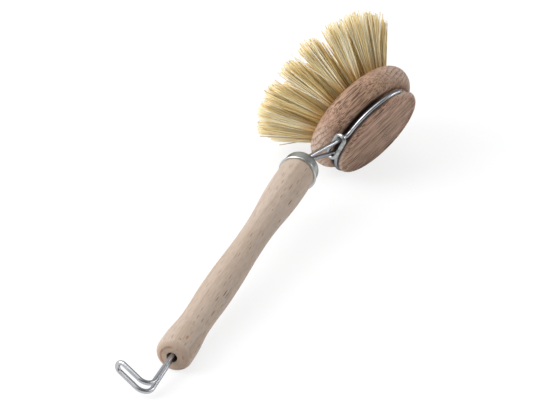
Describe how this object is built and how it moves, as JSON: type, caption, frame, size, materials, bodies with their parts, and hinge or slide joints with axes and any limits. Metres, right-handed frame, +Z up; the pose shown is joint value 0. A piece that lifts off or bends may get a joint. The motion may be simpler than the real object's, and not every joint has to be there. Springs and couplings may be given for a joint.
{
  "type": "dish brush",
  "caption": "Wooden dish brush: turned handle with a hanging hook, a sprung wire that grips a replaceable round head of plant-fibre tufts, and a sliding lock ring.",
  "frame": {"origin": "middle of the brush's footprint on the table, where it lies on its side", "axes": "+X along the handle from its hook to its head, +Z up from the table, +Y to the bristle side"},
  "size_m": [0.2754, 0.0658, 0.0716],
  "materials": {
    "pale_beech": "bare, fine sanded",
    "red_beech": "bare, fine sanded",
    "tinned_steel": "dull tinned",
    "galvanised_wire": "bright galvanised",
    "plant_fibre": "dry straw-coloured fibre"
  },
  "bodies": {
    "handle": {"handle": "pale_beech", "ferrule": "tinned_steel", "hook_wire": "galvanised_wire"},
    "left_arm": {"left_arm": "galvanised_wire"},
    "right_arm": {"right_arm": "galvanised_wire"},
    "ring": {"lock_ring": "galvanised_wire"},
    "head": {"head_block": "red_beech", "tuft_anchors": "galvanised_wire", "tuft_centre_01": "plant_fibre", "tuft_centre_02": "plant_fibre", "tuft_centre_03": "plant_fibre", "tuft_inner_01": "plant_fibre", "tuft_inner_02": "plant_fibre", "tuft_inner_03": "plant_fibre", "tuft_inner_04": "plant_fibre", "tuft_inner_05": "plant_fibre", "tuft_inner_06": "plant_fibre", "tuft_inner_07": "plant_fibre", "tuft_inner_08": "plant_fibre", "tuft_inner_09": "plant_fibre", "tuft_outer_01": "plant_fibre", "tuft_outer_02": "plant_fibre", "tuft_outer_03": "plant_fibre", "tuft_outer_04": "plant_fibre", "tuft_outer_05": "plant_fibre", "tuft_outer_06": "plant_fibre", "tuft_outer_07": "plant_fibre", "tuft_outer_08": "plant_fibre", "tuft_outer_09": "plant_fibre", "tuft_outer_10": "plant_fibre", "tuft_outer_11": "plant_fibre", "tuft_outer_12": "plant_fibre", "tuft_outer_13": "plant_fibre", "tuft_outer_14": "plant_fibre", "tuft_outer_15": "plant_fibre", "tuft_outer_16": "plant_fibre"}
  },
  "joints": [
    {"name": "ring_slide", "type": "slide", "parent": "handle", "child": "ring", "axis": [-0.9463, 0.319, 0.0528], "range_m": [0, 0.012]},
    {"name": "left_arm_spread", "type": "hinge", "parent": "handle", "child": "left_arm", "pos_m": [0.0371, -0.00187, 0.02259], "axis": [0.3081, 0.8398, 0.447], "range_deg": [0, 3.6]},
    {"name": "right_arm_spread", "type": "hinge", "parent": "handle", "child": "right_arm", "pos_m": [0.03688, -0.00288, 0.02464], "axis": [-0.3081, -0.8398, -0.447], "range_deg": [0, 3.6]},
    {"name": "head_turn", "type": "hinge", "parent": "handle", "child": "head", "pos_m": [0.09052, -0.01801, 0.02182], "axis": [0.3081, 0.8398, 0.447], "continuous": true}
  ],
  "couplings": [
    {"joint": "left_arm_spread", "follows": "ring_slide", "rad_per_m": 5.158},
    {"joint": "right_arm_spread", "follows": "ring_slide", "rad_per_m": 5.158}
  ]
}
